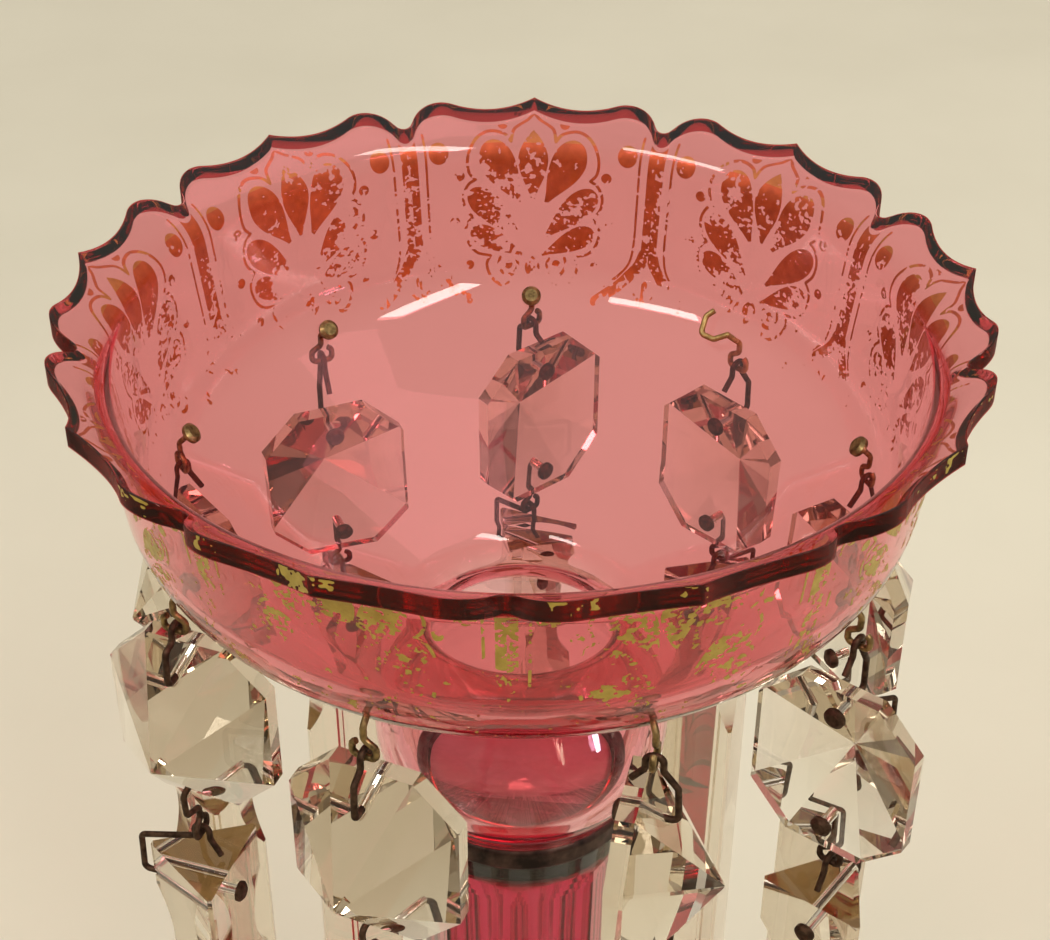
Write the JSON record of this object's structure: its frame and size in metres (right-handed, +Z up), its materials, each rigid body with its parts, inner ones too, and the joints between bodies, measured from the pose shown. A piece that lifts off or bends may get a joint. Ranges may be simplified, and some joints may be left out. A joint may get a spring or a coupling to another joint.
{
  "type": "mantel lustre",
  "caption": "Pink glass mantel lustre with a scalloped gilt bowl on a panelled stem, hung with cut glass drops on wire hooks; holds a posy, a candle or nothing.",
  "frame": {"origin": "middle of the foot's resting ring, on the table", "axes": "+Z up along the axis of the bowl and stem; +Y towards the scallop of drop 1, at the back in the picture; drops 2 to 9 follow clockwise seen from above"},
  "size_m": [0.149, 0.1493, 0.31],
  "materials": {
    "pink_glass": "blown translucent pink glass, gilt palmettes on the outside",
    "crimson_glass": "blown crimson glass with polished flat panels",
    "clear_glass": "cut and polished colourless glass",
    "dark_brass": "darkened",
    "yellow_brass": "dull drawn wire",
    "iron_wire": "brown oxidised drawn wire",
    "plaster": "matt cast plaster"
  },
  "bodies": {
    "stand": {"bowl": "pink_glass", "collar": "dark_brass", "plaster_bed": "plaster", "stem_foot": "crimson_glass", "bowl_pins": "dark_brass", "hook_wire": "yellow_brass"},
    "hook_1": {"button_hook_1": "iron_wire"},
    "drop_1": {"button_1": "clear_glass", "button_pin_1": "iron_wire"},
    "link_1": {"prism_hook_1": "iron_wire"},
    "pendant_1": {"prism_1": "clear_glass"},
    "hook_2": {"button_hook_2": "iron_wire"},
    "drop_2": {"button_2": "clear_glass", "button_pin_2": "iron_wire"},
    "link_2": {"prism_hook_2": "iron_wire"},
    "pendant_2": {"prism_2": "clear_glass"},
    "hook_3": {"button_hook_3": "iron_wire"},
    "drop_3": {"button_3": "clear_glass", "button_pin_3": "iron_wire"},
    "link_3": {"prism_hook_3": "iron_wire"},
    "pendant_3": {"prism_3": "clear_glass"},
    "hook_4": {"button_hook_4": "iron_wire"},
    "drop_4": {"button_4": "clear_glass", "button_pin_4": "iron_wire"},
    "link_4": {"prism_hook_4": "iron_wire"},
    "pendant_4": {"prism_4": "clear_glass"},
    "hook_5": {"button_hook_5": "iron_wire"},
    "drop_5": {"button_5": "clear_glass", "button_pin_5": "iron_wire"},
    "link_5": {"prism_hook_5": "iron_wire"},
    "pendant_5": {"prism_5": "clear_glass"},
    "hook_6": {"button_hook_6": "iron_wire"},
    "drop_6": {"button_6": "clear_glass", "button_pin_6": "iron_wire"},
    "link_6": {"prism_hook_6": "iron_wire"},
    "pendant_6": {"prism_6": "clear_glass"},
    "hook_7": {"button_hook_7": "iron_wire"},
    "drop_7": {"button_7": "clear_glass", "button_pin_7": "iron_wire"},
    "link_7": {"prism_hook_7": "iron_wire"},
    "pendant_7": {"prism_7": "clear_glass"},
    "hook_8": {"button_hook_8": "iron_wire"},
    "drop_8": {"button_8": "clear_glass", "button_pin_8": "iron_wire"},
    "link_8": {"prism_hook_8": "iron_wire"},
    "pendant_8": {"prism_8": "clear_glass"},
    "hook_9": {"button_hook_9": "iron_wire"},
    "drop_9": {"button_9": "clear_glass", "button_pin_9": "iron_wire"},
    "link_9": {"prism_hook_9": "iron_wire"},
    "pendant_9": {"prism_9": "clear_glass"}
  },
  "joints": [
    {"name": "hook_swing_1", "type": "hinge", "parent": "stand", "child": "hook_1", "pos_m": [0, 0.06269, 0.26652], "axis": [0.766, 0.6428, 0], "range_deg": [-3, 6.2]},
    {"name": "drop_sway_1", "type": "hinge", "parent": "hook_1", "child": "drop_1", "pos_m": [0, 0.06269, 0.25802], "axis": [0.6428, -0.766, 0], "range_deg": [-3, 5.2]},
    {"name": "link_swing_1", "type": "hinge", "parent": "drop_1", "child": "link_1", "pos_m": [0, 0.06269, 0.22092], "axis": [0.766, 0.6428, 0], "range_deg": [-3, 6.2]},
    {"name": "pendant_sway_1", "type": "hinge", "parent": "link_1", "child": "pendant_1", "pos_m": [0, 0.06269, 0.20792], "axis": [0.6428, -0.766, 0], "range_deg": [-3, 5.2]},
    {"name": "hook_swing_2", "type": "hinge", "parent": "stand", "child": "hook_2", "pos_m": [0.0403, 0.04803, 0.26652], "axis": [0.6947, -0.7193, 0], "range_deg": [-3, 8]},
    {"name": "drop_sway_2", "type": "hinge", "parent": "hook_2", "child": "drop_2", "pos_m": [0.0403, 0.04803, 0.25502], "axis": [0.7193, 0.6947, 0], "range_deg": [-3, 4]},
    {"name": "link_swing_2", "type": "hinge", "parent": "drop_2", "child": "link_2", "pos_m": [0.0403, 0.04803, 0.21792], "axis": [0.6947, -0.7193, 0], "range_deg": [-3, 8]},
    {"name": "pendant_sway_2", "type": "hinge", "parent": "link_2", "child": "pendant_2", "pos_m": [0.0403, 0.04803, 0.20492], "axis": [0.7193, 0.6947, 0], "range_deg": [-3, 4]},
    {"name": "hook_swing_3", "type": "hinge", "parent": "stand", "child": "hook_3", "pos_m": [0.06174, 0.01089, 0.26652], "axis": [0.5, -0.866, 0], "range_deg": [-3, 8]},
    {"name": "drop_sway_3", "type": "hinge", "parent": "hook_3", "child": "drop_3", "pos_m": [0.06174, 0.01089, 0.25352], "axis": [0.866, 0.5, 0], "range_deg": [-3, 4.3]},
    {"name": "link_swing_3", "type": "hinge", "parent": "drop_3", "child": "link_3", "pos_m": [0.06174, 0.01089, 0.21642], "axis": [0.5, -0.866, 0], "range_deg": [-3, 8]},
    {"name": "pendant_sway_3", "type": "hinge", "parent": "link_3", "child": "pendant_3", "pos_m": [0.06174, 0.01089, 0.20342], "axis": [0.866, 0.5, 0], "range_deg": [-3, 4.3]},
    {"name": "hook_swing_4", "type": "hinge", "parent": "stand", "child": "hook_4", "pos_m": [0.05429, -0.03135, 0.26652], "axis": [0.809, -0.5878, 0], "range_deg": [-3, 4]},
    {"name": "drop_sway_4", "type": "hinge", "parent": "hook_4", "child": "drop_4", "pos_m": [0.05429, -0.03135, 0.25452], "axis": [-0.5878, -0.809, 0], "range_deg": [-3, 8]},
    {"name": "link_swing_4", "type": "hinge", "parent": "drop_4", "child": "link_4", "pos_m": [0.05429, -0.03135, 0.21742], "axis": [0.809, -0.5878, 0], "range_deg": [-3, 4]},
    {"name": "pendant_sway_4", "type": "hinge", "parent": "link_4", "child": "pendant_4", "pos_m": [0.05429, -0.03135, 0.20442], "axis": [-0.5878, -0.809, 0], "range_deg": [-3, 8]},
    {"name": "hook_swing_5", "type": "hinge", "parent": "stand", "child": "hook_5", "pos_m": [0.02144, -0.05891, 0.26652], "axis": [-0.2079, -0.9781, 0], "range_deg": [-3, 4.7]},
    {"name": "drop_sway_5", "type": "hinge", "parent": "hook_5", "child": "drop_5", "pos_m": [0.02144, -0.05891, 0.25552], "axis": [-0.9781, 0.2079, 0], "range_deg": [-3, 7.5]},
    {"name": "link_swing_5", "type": "hinge", "parent": "drop_5", "child": "link_5", "pos_m": [0.02144, -0.05891, 0.21842], "axis": [-0.2079, -0.9781, 0], "range_deg": [-3, 4.7]},
    {"name": "pendant_sway_5", "type": "hinge", "parent": "link_5", "child": "pendant_5", "pos_m": [0.02144, -0.05891, 0.20542], "axis": [-0.9781, 0.2079, 0], "range_deg": [-3, 7.5]},
    {"name": "hook_swing_6", "type": "hinge", "parent": "stand", "child": "hook_6", "pos_m": [-0.02144, -0.05891, 0.26652], "axis": [-0.9272, 0.3746, 0], "range_deg": [-1.2, 8]},
    {"name": "drop_sway_6", "type": "hinge", "parent": "hook_6", "child": "drop_6", "pos_m": [-0.02144, -0.05891, 0.25702], "axis": [-0.3746, -0.9272, 0], "range_deg": [-1.2, 4]},
    {"name": "link_swing_6", "type": "hinge", "parent": "drop_6", "child": "link_6", "pos_m": [-0.02144, -0.05891, 0.21992], "axis": [-0.9272, 0.3746, 0], "range_deg": [-1.2, 8]},
    {"name": "pendant_sway_6", "type": "hinge", "parent": "link_6", "child": "pendant_6", "pos_m": [-0.02144, -0.05891, 0.20692], "axis": [-0.3746, -0.9272, 0], "range_deg": [-1.2, 4]},
    {"name": "hook_swing_7", "type": "hinge", "parent": "stand", "child": "hook_7", "pos_m": [-0.05429, -0.03135, 0.26652], "axis": [-0.9397, 0.342, 0], "range_deg": [-1.2, 6.2]},
    {"name": "drop_sway_7", "type": "hinge", "parent": "hook_7", "child": "drop_7", "pos_m": [-0.05429, -0.03135, 0.25802], "axis": [0.342, 0.9397, 0], "range_deg": [-1.2, 5.2]},
    {"name": "link_swing_7", "type": "hinge", "parent": "drop_7", "child": "link_7", "pos_m": [-0.05429, -0.03135, 0.22092], "axis": [0.2756, 0.9613, 0], "range_deg": [-1.2, 5.6]},
    {"name": "pendant_sway_7", "type": "hinge", "parent": "link_7", "child": "pendant_7", "pos_m": [-0.05429, -0.03135, 0.20792], "axis": [-0.9613, 0.2756, 0], "range_deg": [-1.2, 5.8]},
    {"name": "hook_swing_8", "type": "hinge", "parent": "stand", "child": "hook_8", "pos_m": [-0.06174, 0.01089, 0.26652], "axis": [-0.6428, 0.766, 0], "range_deg": [-3, 5.2]},
    {"name": "drop_sway_8", "type": "hinge", "parent": "hook_8", "child": "drop_8", "pos_m": [-0.06174, 0.01089, 0.25152], "axis": [0.766, 0.6428, 0], "range_deg": [-3, 6.2]},
    {"name": "link_swing_8", "type": "hinge", "parent": "drop_8", "child": "link_8", "pos_m": [-0.06174, 0.01089, 0.21442], "axis": [-0.6428, 0.766, 0], "range_deg": [-3, 5.2]},
    {"name": "pendant_sway_8", "type": "hinge", "parent": "link_8", "child": "pendant_8", "pos_m": [-0.06174, 0.01089, 0.20142], "axis": [0.766, 0.6428, 0], "range_deg": [-3, 6.2]},
    {"name": "hook_swing_9", "type": "hinge", "parent": "stand", "child": "hook_9", "pos_m": [-0.0403, 0.04803, 0.26652], "axis": [0.9135, 0.4067, 0], "range_deg": [-3, 8]},
    {"name": "drop_sway_9", "type": "hinge", "parent": "hook_9", "child": "drop_9", "pos_m": [-0.0403, 0.04803, 0.25152], "axis": [-0.4067, 0.9135, 0], "range_deg": [-3, 4.2]},
    {"name": "link_swing_9", "type": "hinge", "parent": "drop_9", "child": "link_9", "pos_m": [-0.0403, 0.04803, 0.21442], "axis": [0.9135, 0.4067, 0], "range_deg": [-3, 8]},
    {"name": "pendant_sway_9", "type": "hinge", "parent": "link_9", "child": "pendant_9", "pos_m": [-0.0403, 0.04803, 0.20142], "axis": [-0.4067, 0.9135, 0], "range_deg": [-3, 4.2]}
  ]
}
